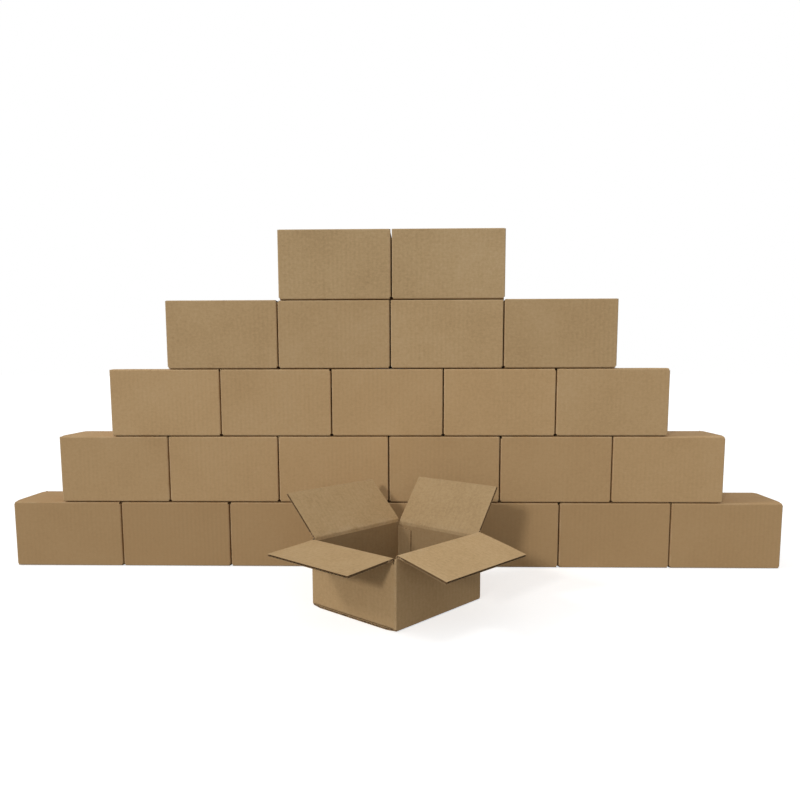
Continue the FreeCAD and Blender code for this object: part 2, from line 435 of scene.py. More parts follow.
    def _corner(self, sheet: FoldedSheet, number: int) -> None:
        """Add the rounded corner at the start of a wall, and the slots on both its sides.

        Args:
            sheet: Sheet that takes them.
            number: Number of the wall.
        """
        wall, before = self.walls[number], self.walls[number - 1]
        radius, peak = BOARD.fold_radius, self._peaks[number]
        heights = [self.sleeve_floor, *self._rows(), self.sleeve_top]
        if self.top is Top.HINGED_ALL:
            heights[-1] -= BOARD.mitre
        levels = [(rise, BOARD.thickness) for rise in heights]
        if peak > 0:
            levels += [(heights[-1] + more, BOARD.corner_thickness) for more in (0.0, peak)]
        centre = wall.start + (wall.run + wall.inward) * radius
        rows = []
        for rise, skin in levels:
            row = []
            for angle in arc_steps(4):
                spot = centre - wall.run * (radius * math.cos(angle))
                spot = spot - wall.inward * (radius * math.sin(angle)) + Vector((0, 0, rise))
                travel = wall.blank_start + radius * angle / (math.pi / 2)
                row.append(SheetPoint(spot, self._inside(spot, skin), (travel, rise), 1.0))
            rows.append(row)
        sheet.patch(rows)
        for owner, ends in ((wall, (radius, self._straight(wall)[0])),
                            (before, (self._straight(before)[-1], before.length - radius))):
            sheet.patch([[self._on_wall(owner, along, rise, 0.6) for along in ends]
                         for rise in heights])

    def _flap_rows(self, wall: Wall, upper: bool) -> list[FlapRow]:
        """Give the rows of a folded flap, outwards from the wall.

        Args:
            wall: Wall that carries the flap.
            upper: Whether it is a top flap.

        Returns:
            The rows.
        """
        radius, run = BOARD.fold_radius, BOARD.ease_run
        edge, ease, span = 0.0, BOARD.ease, self.width
        if not wall.outer_flaps:
            edge, ease, span = self.sleeve_floor, 0.0, min(self.length, self.width)
        reach = (span - (BOARD.meeting_gap if upper else BOARD.bottom_gap)) / 2
        rows = [FlapRow(0.0, edge + ease + radius, edge + radius, 0.7)]
        rows += [FlapRow(radius * (1 - math.cos(angle)),
                         edge + ease + radius * (1 - math.sin(angle)),
                         edge + radius * (1 - angle), 1.0) for angle in arc_steps(4)[1:]]
        for inset, fold in ((radius + 0.002, 0.35), (radius + 0.006, 0.0), (radius + 0.011, 0.0),
                            (run + 0.002, 0.0)):
            left = max(1 - (inset - radius) / run, 0.0)
            rows.append(FlapRow(inset, edge + ease * left ** 1.5, edge - inset, fold))
        rows += [FlapRow(inset, edge, edge - inset, 0.0)
                 for inset in spread(run + 0.010, reach - 0.003, 3)]
        rows.append(FlapRow(reach, edge, edge - reach, 0.5))
        if upper:
            rows = [FlapRow(row.inset, self.height - row.rise, self.height - row.travel, row.fold)
                    for row in rows]
        return rows

    def _hinge_row(self, wall: Wall) -> list[SheetPoint]:
        """Give the top row of a wall that ends in the mitre of a hinged flap."""
        fold_line = self.height if wall.outer_flaps else self.sleeve_top
        rounded = self.top is Top.HINGED_OUTER
        outer_rise = fold_line - (BOARD.fold_radius if rounded else BOARD.mitre)
        row = []
        for along in self._straight(wall):
            point = self._on_wall(wall, along, outer_rise)
            inner = wall.start + wall.run * along + wall.inward * BOARD.thickness
            inner.z = fold_line - BOARD.thickness - BOARD.mitre
            row.append(SheetPoint(point.outer, inner, point.blank, 0.9))
        return row

    def _panel(self, sheet: FoldedSheet, wall: Wall) -> None:
        """Add a wall with the flaps above and below it."""
        stations = self._straight(wall)
        heights = self._rows()
        if wall.outer_flaps:
            heights = [self.sleeve_floor, *heights, self.sleeve_top]
        rows = [[self._on_wall(wall, along, rise) for along in stations] for rise in heights]
        below, above = ([[self._on_flap(wall, along, row) for along in stations]
                         for row in self._flap_rows(wall, upper)] for upper in (False, True))
        if self.top is Top.HINGED_ALL or (self.top is Top.HINGED_OUTER and wall.outer_flaps):
            above = [self._hinge_row(wall)]
        sheet.patch([*below[::-1], *rows, *above])

    def build(self, finishes: "Finishes") -> None:
        """Fold the carton, dress it and let it ride on the stack."""
        sheet = FoldedSheet()
        for number, wall in enumerate(self.walls):
            self._corner(sheet, number)
            self._panel(sheet, wall)
        self._glued_strip(sheet)
        name = f"{self.node}_board"
        piece = new_piece(name, sheet.mesh(name, self.place, self.tone, self.warmth,
                                           self.inside_painted_shade))
        finishes.dress_board(piece)
        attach(piece, STACK)
        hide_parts(self.node)

    def _glued_strip(self, sheet: FoldedSheet) -> None:
        """Add the strip glued inside the short wall, at the corner where the blank closes."""
        floor = self.sleeve_floor + BOARD.thickness + BOARD.tab_drop
        back, plane = (size - BOARD.thickness - BOARD.glue_gap
                       for size in (self.width, self.length))
        rows = []
        for share in spread(0.0, 1.0, 4):
            along = back - BOARD.tab_width * share
            low = floor + BOARD.tab_taper * share
            deep = BOARD.tab_thickness * (1.0 if share < 0.9 else 0.75)
            # The strip's face towards the inside takes the same painted shade as the inside of the
            # walls.
            rows.append([SheetPoint(Vector((plane - deep, along, rise)),
                                    Vector((plane, along, rise)),
                                    (share * BOARD.tab_width, rise), 0.3, (self.inside_painted_shade, 1.0))
                         for rise in spread(low, self.height - low, 4)])
        sheet.patch(rows)


def new_piece(name: str, mesh: Mesh) -> Piece:
    """Put a mesh into the scene as an object at the origin."""
    piece = bpy.data.objects.new(name, mesh)
    bpy.context.scene.collection.objects.link(piece)
    return piece


def turned_place(place: Matrix, spot: Sequence[float], turned: float) -> Matrix:
    """Move a place to a spot of its own, and turn it in degrees about the upright."""
    return place @ Matrix.Translation(spot) @ Matrix.Rotation(math.radians(turned), 4, "Z")


@dataclass(frozen=True)
class Curl:
    """The slight set that a flap keeps: its free edge lifts and one corner lifts more."""

    lift: float = 0.0
    twist: float = 0.0
    cup: float = 0.0

    def offset(self, across: float, out: float) -> float:
        """Give how far a point moves off the flap's plane, by its shares across and out."""
        bent = max(out - 0.12, 0.0) ** 2
        middle = 1 - (2 * across - 1) ** 2
        return bent * (self.lift + self.twist * (across - 0.5)) + self.cup * middle * bent


@dataclass
class FlutedFlap:
    """A hinged flap of corrugated board: two facings, the wave between them and a crushed root."""

    node: str
    hinge_length: float
    reach: float
    seat: Matrix
    opened: float
    seed: int
    slot: str = "kraft_flap"
    rounded_root: bool = False
    curl: Curl = Curl()
    tone: float = 1.0
    warmth: float = 0.0

    @property
    def name(self) -> str:
        """Name of the visible board."""
        return f"{self.node}_board"

    @property
    def frame(self) -> Matrix:
        """Where the flap lies at rest: the hinge on its X axis, its outer face up."""
        return self.seat @ Matrix.Rotation(math.radians(self.opened), 4, "X")

    def _warped(self, point: Vector) -> Vector:
        """Bend a point of the flat flap by its curl."""
        across = point.x / self.hinge_length
        out = max(point.y / self.reach, 0.0)
        return point + Vector((0, 0, self.curl.offset(across, out)))

    def _slab(self, sheet: FoldedSheet, outer: Sequence[Pair],
              inner: Sequence[Pair], fold: Sequence[float],
              shades: Pair = (1.0, 1.0)) -> None:
        """Add a layer that runs the whole length of the hinge.

        Args:
            sheet: Sheet that takes the layer.
            outer: Distance out and height of each row of the upper face.
            inner: The same for the lower face.
            fold: Nearness of a fold for each row.
            shades: Shade of the upper face and of the lower one.
        """
        stations = spread(0.0, self.hinge_length, 16)
        rows = []
        for (out, high), (in_out, low), near in zip(outer, inner, fold):
            rows.append([SheetPoint(self._warped(Vector((across, out, high))),
                                    self._warped(Vector((across, in_out, low))),
                                    (across, out), near, shades) for across in stations])
        sheet.patch(rows)

    def board_mesh(self) -> Mesh:
        """Build the crushed root and the two facing sheets as one mesh."""
        thick, liner, mitre = BOARD.thickness, BOARD.liner, BOARD.mitre
        crush = thick + BOARD.crushed_zone
        root = BOARD.fold_radius if self.rounded_root else mitre
        beyond = spread(crush, self.reach, 9)
        near = [1.0, 0.6, 0.2, *[0.0] * (len(beyond) - 1), 0.4]
        outer = [root, thick + mitre, thick + 0.003, *beyond]
        inner = [thick + mitre, thick + 0.002, thick + 0.004, *beyond]
        sheet = FoldedSheet()
        # The facings' faces towards the wave are drawn darker, as painted shade in the flute
        # hollows.
        self._slab(sheet, [(out, 0.0) for out in outer],
                   [(root + liner, -liner), *[(out, -liner) for out in outer[1:]]], near,
                   (1.0, BOARD.hidden_shade))
        self._slab(sheet, [(out, liner - thick) for out in inner],
                   [(out, -thick) for out in inner], near, (BOARD.hidden_shade, 1.0))
        skin = liner + BOARD.slab_gap
        self._slab(sheet, [(root + liner, -skin), (crush, -skin)],
                   [(thick + mitre, skin - thick), (crush, skin - thick)], [0.4, 0.4])
        return sheet.mesh(self.name, self.frame, self.tone, self.warmth)

    def medium_mesh(self, waves: "MediumTree") -> Mesh:
        """Build the wave between the facing sheets, where the flap lies."""
        mesh = waves.wave(f"{self.name}_wave", self.hinge_length,
                          BOARD.thickness + BOARD.crushed_zone, self.reach - BOARD.wave_end,
                          self.seed)
        for vertex in mesh.vertices:
            vertex.co = self.frame @ self._warped(vertex.co)
        mesh.update()
        return mesh

    def build(self, finishes: "Finishes") -> None:
        """Build the flap's two pieces, dress them and let them ride on the flap's body."""
        board = new_piece(self.name, self.board_mesh())
        wave = new_piece(f"{self.name}_wave", self.medium_mesh(finishes.waves))
        for piece, dress in ((board, finishes.dress_board), (wave, finishes.dress_medium)):
            dress(piece)
            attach(piece, self.node)
        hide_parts(self.node)
        FoldBead(self).build(finishes)
        LOG.info("%s: flap and its fold", self.node)


@dataclass
class FoldBead:
    """The facing sheet that runs on over a hinged fold, built where the flap lies at rest."""

    flap: FlutedFlap

    def _profile(self) -> tuple[list[Pair], list[Pair]]:
        """Give the two sides of the bead's section, in the plane across the hinge."""
        thick, radius = BOARD.thickness, BOARD.fold_radius
        if self.flap.rounded_root:
            outer, inner = ([(radius - size * math.cos(angle), size * math.sin(angle) - radius)
                             for angle in arc_steps(8)]
                            for size in (radius, radius - BOARD.bead_skin))
            return outer, inner
        size = thick - BOARD.bead_clear
        turned = math.radians(self.flap.opened)
        past = thick + 2 * BOARD.mitre
        root = (past * math.cos(turned) + size * math.sin(turned),
                past * math.sin(turned) - size * math.cos(turned))
        arc = [(size * math.cos(angle), size * math.sin(angle))
               for angle in arc_steps(12, self.flap.opened - 90, 0.0)]
        outer = [root, *arc, (size, -past)]
        return outer, [(0.0, 0.0)] * len(outer)

    def build(self, finishes: "Finishes") -> None:
        """Build the bead between the carton and the flap."""
        flap, gap = self.flap, BOARD.bead_gap
        outer, inner = self._profile()
        sheet = FoldedSheet()
        sheet.patch([[SheetPoint(Vector((across, *high)), Vector((across, *low)),
                                 (across, number * 0.001), 1.0)
                      for across in spread(gap, flap.hinge_length - gap, 12)]
                     for number, (high, low) in enumerate(zip(outer, inner))])
        name = f"{flap.name}_fold"
        piece = new_piece(name, sheet.mesh(name, flap.seat, flap.tone, flap.warmth))
        finishes.dress_board(piece)
        ends = (outer[0], outer[-1]) if flap.rounded_root else (outer[-2], outer[1])
        start, end = (flap.seat @ Vector((0.0, *spot)) for spot in ends)
        if not flap.rounded_root:
            spare = (end - start) * BOARD.bead_spare
            start, end = start - spare, end + spare
        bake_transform(piece)


class Nodes:
    """Short ways to add nodes to one tree."""

    def __init__(self, tree: Tree) -> None:
        """Keep the tree that the nodes go into."""
        self.tree = tree

    def add(self, kind: str, feeds: dict | None = None, **settings) -> bpy.types.Node:
        """Add a node.

        Args:
            kind: Type of the node.
            feeds: What its inputs take, by their names or numbers.
            settings: Its properties, which are set before the inputs.

        Returns:
            The node.
        """
        node = self.tree.nodes.new(kind)
        for name, value in settings.items():
            setattr(node, name, value)
        self.feed(node, feeds or {})
        return node

    def feed(self, node: bpy.types.Node, feeds: dict) -> None:
        """Link a node's inputs to outputs, or give them plain values."""
        for name, value in feeds.items():
            if isinstance(value, Socket):
                self.tree.links.new(value, node.inputs[name])
            else:
                node.inputs[name].default_value = value

    def maths(self, operation: str, *values, clamp: bool = False) -> Socket:
        """Add a math node and give its result."""
        return self.add("ShaderNodeMath", dict(enumerate(values)), operation=operation,
                        use_clamp=clamp).outputs[0]

    def times(self, first, second, clamp: bool = False) -> Socket:
        """Multiply two values."""
        return self.maths("MULTIPLY", first, second, clamp=clamp)

    def minus(self, first, second) -> Socket:
        """Take the second value from the first."""
        return self.maths("SUBTRACT", first, second)

    def plus(self, first, *others) -> Socket:
        """Add values up."""
        for other in others:
            first = self.maths("ADD", first, other)
        return first

    def noise(self, vector, scale: float, detail: float = 2.0, rough: float = 0.5) -> Socket:
        """Add a noise texture and give its value."""
        return self.add("ShaderNodeTexNoise", {"Vector": vector, "Scale": scale, "Detail": detail,
                                               "Roughness": rough}).outputs["Fac"]

    def scaled(self, vector, size: tuple[float, float, float]) -> Socket:
        """Multiply a vector by fixed factors."""
        return self.add("ShaderNodeVectorMath", {0: vector, 1: size},
                        operation="MULTIPLY").outputs[0]

    def blended(self, share, first, second) -> Socket:
        """Mix two colours."""
        return self.add("ShaderNodeMix", {"Factor": share, "A": first, "B": second},
                        data_type="RGBA").outputs["Result"]

    def ranged(self, value, low: float, high: float) -> Socket:
        """Stretch the span from low to high over zero to one."""
        return self.add("ShaderNodeMapRange", {"Value": value, "From Min": low, "From Max": high},
                        clamp=True).outputs["Result"]


class MediumTree:
    """Node tree that makes the corrugated wave of a flap as a sheet with a thickness."""

    def __init__(self, finish: bpy.types.Material) -> None:
        """Build the tree once, for waves of one material."""
        self.finish = finish
        self.tree = bpy.data.node_groups.new("corrugated_wave", "GeometryNodeTree")
        self._add_sockets()
        self._make()

    def _add_sockets(self) -> None:
        """Add the named inputs and the output."""
        values = {"Length": 0.2, "Start": 0.01, "Reach": 0.09, "Pitch": BOARD.flute_pitch,
                  "Swing": 0.0012, "Thickness": BOARD.medium, "Middle": -BOARD.thickness / 2,
                  "Unevenness": 0.00012, "Columns": 240, "Seed": 0}
        for name, way, kind in (("Geometry", "OUTPUT", "Geometry"),
                                ("Geometry", "INPUT", "Geometry"), ("Finish", "INPUT", "Material")):
            self.tree.interface.new_socket(name, in_out=way, socket_type=f"NodeSocket{kind}")
        for name, value in values.items():
            kind = "NodeSocketInt" if isinstance(value, int) else "NodeSocketFloat"
            socket = self.tree.interface.new_socket(name, in_out="INPUT", socket_type=kind)
            socket.default_value = value

    def _make(self) -> None:
        """Add the nodes: a grid, its wave, its thickness and its material."""
        nodes = Nodes(self.tree)
        given = nodes.add("NodeGroupInput").outputs
        grid = nodes.add("GeometryNodeMeshGrid", {
            "Size X": given["Length"], "Size Y": nodes.minus(given["Reach"], given["Start"]),
            "Vertices X": given["Columns"], "Vertices Y": 8})
        position = nodes.add("GeometryNodeInputPosition").outputs[0]
        parts = nodes.add("ShaderNodeSeparateXYZ", {0: position}).outputs
        across = nodes.plus(parts["X"], nodes.times(given["Length"], 0.5))
        middle = nodes.times(nodes.plus(given["Reach"], given["Start"]), 0.5)
        phase = nodes.maths("DIVIDE", nodes.times(across, 2 * math.pi), given["Pitch"])
        wave = nodes.times(nodes.maths("SINE", phase), given["Swing"])
        noise = nodes.add("ShaderNodeTexNoise", {"Vector": position, "W": given["Seed"],
                                                 "Scale": 160.0}, noise_dimensions="4D")
        uneven = nodes.times(nodes.minus(noise.outputs[0], 0.5), given["Unevenness"])
        spot = nodes.add("ShaderNodeCombineXYZ", {
            "X": across, "Y": nodes.plus(parts["Y"], middle),
            "Z": nodes.plus(wave, uneven, given["Middle"])})
        moved = nodes.add("GeometryNodeSetPosition", {
            "Geometry": grid.outputs["Mesh"], "Position": spot.outputs[0]})
        normal = nodes.add("GeometryNodeInputNormal").outputs[0]
        drop = nodes.add("ShaderNodeVectorMath", {
            0: normal, "Scale": nodes.times(given["Thickness"], -0.5)}, operation="SCALE")
        lowered = nodes.add("GeometryNodeSetPosition", {
            "Geometry": moved.outputs[0], "Offset": drop.outputs[0]}).outputs[0]
        thicker = nodes.add("GeometryNodeExtrudeMesh", {
            "Mesh": lowered, "Offset Scale": given["Thickness"], "Individual": False}, mode="FACES")
        flipped = nodes.add("GeometryNodeFlipFaces", {0: lowered})
        both = nodes.add("GeometryNodeJoinGeometry", {0: thicker.outputs["Mesh"]})
        nodes.feed(both, {0: flipped.outputs[0]})
        merged = nodes.add("GeometryNodeMergeByDistance", {
            "Geometry": both.outputs[0], "Distance": 1e-6})
        real = nodes.add("GeometryNodeRealizeInstances", {0: merged.outputs[0]})
        dressed = nodes.add("GeometryNodeSetMaterial", {
            "Geometry": real.outputs[0], "Material": given["Finish"]})
        nodes.add("NodeGroupOutput", {0: dressed.outputs[0]})

    def wave(self, name: str, length: float, start: float, reach: float, seed: int) -> Mesh:
        """Make one wave sheet.

        Args:
            name: Name of the mesh.
            length: Length along the hinge.
            start: Where the wave starts, out from the hinge.
            reach: Where it ends.
            seed: Seed of its unevenness.

        Returns:
            A plain mesh.
        """
        halves = round(length / (BOARD.flute_pitch / 2))
        values = {"Length": length, "Start": start, "Reach": reach, "Seed": seed,
                  "Pitch": 2 * length / halves, "Columns": halves * 5 + 1, "Finish": self.finish}
        holder = new_piece(name, bpy.data.meshes.new(name))
        modifier = holder.modifiers.new("wave", "NODES")
        modifier.node_group = self.tree
        for item in self.tree.interface.items_tree:
            if item.in_out == "INPUT" and item.name in values:
                modifier[item.identifier] = values[item.name]
        bpy.context.view_layer.update()
        graph = bpy.context.evaluated_depsgraph_get()
        mesh = bpy.data.meshes.new_from_object(holder.evaluated_get(graph), depsgraph=graph)
        holder.modifiers.clear()
        bpy.data.objects.remove(holder)
        smooth(mesh, BOARD.sharp_wave_degrees)
        return mesh


class PaperGroups:
    """The node groups that the paper materials share."""

    def __init__(self) -> None:
        """Build the groups once."""
        self.fibre = self._fibre()
        self.flutes = self._flutes()
        self.wear_and_highlight = self._wear_and_highlight()

    @staticmethod
    def _group(name: str, inputs: dict[str, str], outputs: dict[str, str]) -> tuple:
        """Make an empty group with named sockets.

        Args:
            name: Name of the group.
            inputs: Kind of socket by input name.
            outputs: Kind of socket by output name.

        Returns:
            A node helper for the group and its input node's outputs.
        """
        group = bpy.data.node_groups.new(name, "ShaderNodeTree")
        for way, sockets in (("INPUT", inputs), ("OUTPUT", outputs)):
            for label, kind in sockets.items():
                group.interface.new_socket(label, in_out=way, socket_type=f"NodeSocket{kind}")
        nodes = Nodes(group)
        return nodes, nodes.add("NodeGroupInput").outputs

    def _fibre(self) -> Tree:
        """Build the paper itself: fibres along the machine, clouds of tone, and flecks."""
        nodes, given = self._group(
            "paper_fibre",
            {"Blank": "Vector", "Place": "Vector", "Base": "Color", "Dark": "Color",
             "Pale": "Color", "Contrast": "Float"},
            {"Colour": "Color", "Height": "Float", "Dull": "Float"})
        place = given["Place"]
        cloud = nodes.noise(place, 11.0, 3.0, 0.6)
        patch = nodes.noise(place, 190.0, 3.0, 0.6)
        streak = nodes.noise(nodes.scaled(given["Blank"], (70.0, 900.0, 1.0)), 1.0, 4.0, 0.6)
        grain = nodes.noise(place, 900.0, 3.0, 0.65)
        fleck = nodes.ranged(nodes.noise(place, 1300.0, 1.0, 0.4), 0.66, 0.74)
        cream = nodes.ranged(nodes.noise(place, 1750.0, 1.0, 0.4), 0.67, 0.75)
        weights = ((cloud, 0.22), (patch, 0.30), (streak, 0.24), (grain, 0.24))
        tone = nodes.plus(*[nodes.times(part, weight) for part, weight in weights])
        swing = nodes.times(nodes.minus(tone, 0.5), given["Contrast"])
        colour = given["Base"]
        for share, strength, other in ((swing, -1.0, "Dark"), (swing, 1.0, "Pale"),
                                       (fleck, 0.30, "Dark"), (cream, 0.22, "Pale")):
            colour = nodes.blended(nodes.times(share, strength, clamp=True), colour, given[other])
        relief = nodes.plus(nodes.times(grain, 0.00005), nodes.times(streak, 0.00004))
        dull = nodes.plus(0.74, nodes.times(patch, 0.22))
        nodes.add("NodeGroupOutput", {"Colour": colour, "Height": relief, "Dull": dull})
        return nodes.tree

    def _flutes(self) -> Tree:
        """Build the faint ribs where the wave under the facing sheet shows through."""
        nodes, given = self._group(
            "flutes_showing_through",
            {"Blank": "Vector", "Place": "Vector", "Pitch": "Float", "Depth": "Float"},
            {"Shade": "Float", "Height": "Float"})
        parts = nodes.add("ShaderNodeSeparateXYZ", {0: given["Blank"]})
        drift = nodes.times(nodes.noise(given["Place"], 7.0, 1.0), 0.0016)
        across = nodes.plus(parts.outputs["X"], drift)
        turn = nodes.maths("DIVIDE", nodes.times(across, 2 * math.pi), given["Pitch"])
        rib = nodes.plus(nodes.times(nodes.maths("COSINE", turn), 0.5), 0.5)
        strength = nodes.ranged(nodes.noise(given["Place"], 9.0, 2.0), 0.25, 0.7)
        rib = nodes.times(nodes.maths("POWER", rib, 1.6), strength)
        nodes.add("NodeGroupOutput", {"Shade": rib, "Height": nodes.times(rib, given["Depth"])})
        return nodes.tree

    def _wear_and_highlight(self) -> Tree:
        """Build the slightly fuzzy line along folds and cut edges: a paler line that is partly worn
        paper and partly a painted highlight, and a darker crease.
        """
        nodes, given = self._group(
            "rubbed_and_highlit_folds", {"Fold": "Float", "Place": "Vector"},
            {"RubbedAndHighlit": "Float", "Creased": "Float", "Height": "Float"})
        fold = given["Fold"]
        broad = nodes.ranged(nodes.noise(given["Place"], 38.0, 3.0, 0.6), 0.36, 0.66)
        fine = nodes.noise(given["Place"], 620.0, 2.0, 0.6)
        rubbed_and_highlit = nodes.times(nodes.times(fold, broad), fine)
        crease = nodes.times(fold, nodes.ranged(fine, 0.45, 0.62))
        nodes.add("NodeGroupOutput", {"RubbedAndHighlit": rubbed_and_highlit, "Creased": crease,
                                      "Height": nodes.times(crease, -0.00012)})
        return nodes.tree


@dataclass(frozen=True)
class PaperFinish:
    """Colours and strengths of one paper."""

    name: str
    base: Colour
    dark: Colour
    pale: Colour
    warm: Colour
    contrast: float = 3.0
    rib_depth: float = 0.00008
    rib_shade: float = 0.09
    # How much paler the folds are drawn: partly worn paper, partly painted highlight.
    rubbed_and_highlit: float = 0.55
    creased: float = 0.22


KRAFT_LINER = PaperFinish(
    name="kraft_liner",
    base=linear(203, 172, 127),
    dark=linear(152, 120, 82),
    pale=linear(226, 200, 160),
    warm=linear(200, 160, 112))

BROWN_MEDIUM = PaperFinish(
    name="brown_medium",
    base=linear(134, 104, 70),
    dark=linear(88, 64, 42),
    pale=linear(160, 128, 90),
    warm=linear(134, 104, 70),
    contrast=1.6,
    rib_depth=0.0,
    rib_shade=0.0)


@dataclass(frozen=True)
class CutFinish:
    """Colours and sizes of a cut edge: the wave's swing, and where hollow turns into facing. The
    hollow's dark colour is painted shade.
    """

    base: Colour = linear(184, 152, 112)
    # Painted shade: the dark colour drawn where the flute hollows of the cut lie.
    hollow: Colour = linear(58, 42, 28)
    contrast: float = 1.2
    swing: float = 0.00125
    slit: float = 0.0016
    hollow_from: Pair = (0.0003, 0.0006)
    facing_from: Pair = (0.0012, 0.0015)
    depth: float = 0.0004


CUT_EDGE = CutFinish()


class Cut(Enum):
    """What a cut edge shows of the board's wave."""

    WAVE = "the wave end on"
    SLIT = "the hollow along a flute"


class Finishes:
    """The materials of the cartons and the tree of the waves, built once."""

    def __init__(self) -> None:
        """Build the groups and the materials."""
        self.groups = PaperGroups()
        self.liner = self._paper(KRAFT_LINER)
        self.medium = self._paper(BROWN_MEDIUM)
        self.wave_cut = self._cut_edge("cut_edge_wave", Cut.WAVE)
        self.slit_cut = self._cut_edge("cut_edge_slit", Cut.SLIT)
        self.waves = MediumTree(self.medium)

    @staticmethod
    def _fresh(name: str) -> tuple:
        """Start a material: give it, its nodes, the object's coordinates and the blank's."""
        material = bpy.data.materials.new(name)
        material.use_nodes = True
        nodes = Nodes(material.node_tree)
        place = nodes.add("ShaderNodeTexCoord").outputs["Object"]
        blank = nodes.add("ShaderNodeUVMap", uv_map=BLANK_MAP).outputs["UV"]
        return material, nodes, place, blank

    @staticmethod
    def _shade(nodes: Nodes, colour: Socket, dull: Socket, relief: Socket) -> None:
        """Give the shader its colour, its roughness and a bump."""
        bump = nodes.add("ShaderNodeBump", {"Height": relief})
        nodes.feed(nodes.tree.nodes["Principled BSDF"], {
            "Specular IOR Level": PAPER_GLOSS, "Base Color": colour, "Roughness": dull,
            "Normal": bump.outputs[0]})

    @staticmethod
    def _attribute(nodes: Nodes, name: str) -> Socket:
        """Read a number that is stored per vertex."""
        return nodes.add("ShaderNodeAttribute", attribute_name=name).outputs["Fac"]

    @staticmethod
    def _placed(nodes: Nodes, group: Tree, **feeds) -> bpy.types.NodeOutputs:
        """Place a group, feed its inputs by name and give its outputs."""
        return nodes.add("ShaderNodeGroup", feeds, node_tree=group).outputs

    def _paper(self, finish: PaperFinish) -> bpy.types.Material:
        """Build the material of one paper.

        Args:
            finish: Its colours and strengths.

        Returns:
            The material.
        """
        material, nodes, place, blank = self._fresh(finish.name)
        fibre = self._placed(nodes, self.groups.fibre, Blank=blank, Place=place, Base=finish.base,
                             Dark=finish.dark, Pale=finish.pale, Contrast=finish.contrast)
        ribs = self._placed(nodes, self.groups.flutes, Blank=blank, Place=place,
                            Pitch=BOARD.flute_pitch, Depth=finish.rib_depth)
        wear_and_highlight = self._placed(nodes, self.groups.wear_and_highlight, Fold=self._attribute(nodes, "fold"),
                            Place=place)
        warmth = self._attribute(nodes, "warmth")
        colour = nodes.blended(warmth, fibre["Colour"], finish.warm)
        # Folds are drawn paler, partly as worn paper and partly as painted highlight; creases are
        # drawn darker.
        for share, strength, other in ((ribs["Shade"], finish.rib_shade, finish.dark),
                                       (wear_and_highlight["RubbedAndHighlit"], finish.rubbed_and_highlit, finish.pale),
                                       (wear_and_highlight["Creased"], finish.creased, finish.dark)):
            colour = nodes.blended(nodes.times(share, strength), colour, other)
        level = nodes.add("ShaderNodeVectorMath", {
            0: colour, "Scale": self._attribute(nodes, "tone")}, operation="SCALE")
        relief = nodes.plus(fibre["Height"], ribs["Height"], wear_and_highlight["Height"])
        self._shade(nodes, level.outputs[0], fibre["Dull"], relief)
        return material

    def _cut_edge(self, name: str, cut: Cut) -> bpy.types.Material:
        """Build the material of a cut edge of the board.

        Args:
            name: Name of the material.
            cut: What the edge shows.

        Returns:
            The material.
        """
        material, nodes, place, blank = self._fresh(name)
        parts = nodes.add("ShaderNodeSeparateXYZ", {0: blank}).outputs
        middle = nodes.minus(parts["Y"], BOARD.thickness / 2)
        off_middle = nodes.maths("ABSOLUTE", middle)
        if cut is Cut.WAVE:
            turn = nodes.times(parts["X"], 2 * math.pi / BOARD.flute_pitch)
            line = nodes.times(nodes.maths("SINE", turn), CUT_EDGE.swing)
            off = nodes.maths("ABSOLUTE", nodes.minus(middle, line))
        else:
            off = nodes.minus(CUT_EDGE.slit, off_middle)
        hollow = nodes.ranged(off, *CUT_EDGE.hollow_from)
        facing = nodes.ranged(off_middle, *CUT_EDGE.facing_from)
        ragged = nodes.ranged(nodes.noise(place, 420.0, 2.0, 0.6), 0.3, 0.6)
        hollow = nodes.times(nodes.times(hollow, nodes.minus(1.0, facing)), ragged)
        fibre = self._placed(nodes, self.groups.fibre, Blank=blank, Place=place,
                             Base=CUT_EDGE.base, Dark=BROWN_MEDIUM.dark,
                             Pale=KRAFT_LINER.pale, Contrast=CUT_EDGE.contrast)
        # The flute hollows are drawn dark, as painted shade inside the flutes.
        colour = nodes.blended(hollow, fibre["Colour"], CUT_EDGE.hollow)
        relief = nodes.plus(fibre["Height"], nodes.times(hollow, -CUT_EDGE.depth))
        self._shade(nodes, colour, fibre["Dull"], relief)
        return material

    def dress_board(self, piece: Piece) -> None:
        """Give a board its facing and its two kinds of cut edge."""
        for material in (self.liner, self.wave_cut, self.slit_cut):
            piece.data.materials.append(material)

    def dress_medium(self, piece: Piece) -> None:
        """Give a wave sheet its paper, and the attributes that the paper reads."""
        mesh = piece.data
        mesh.materials.clear()
        mesh.materials.append(self.medium)
        layer = mesh.uv_layers.get(BLANK_MAP) or mesh.uv_layers.new(name=BLANK_MAP)
        for loop in mesh.loops:
            spot = mesh.vertices[loop.vertex_index].co
            layer.data[loop.index].uv = (spot.x, spot.z)
        for name, value in (("fold", 0.0), ("tone", 1.0), ("warmth", 0.0)):
            write_attribute(mesh, name, [value] * len(mesh.vertices))


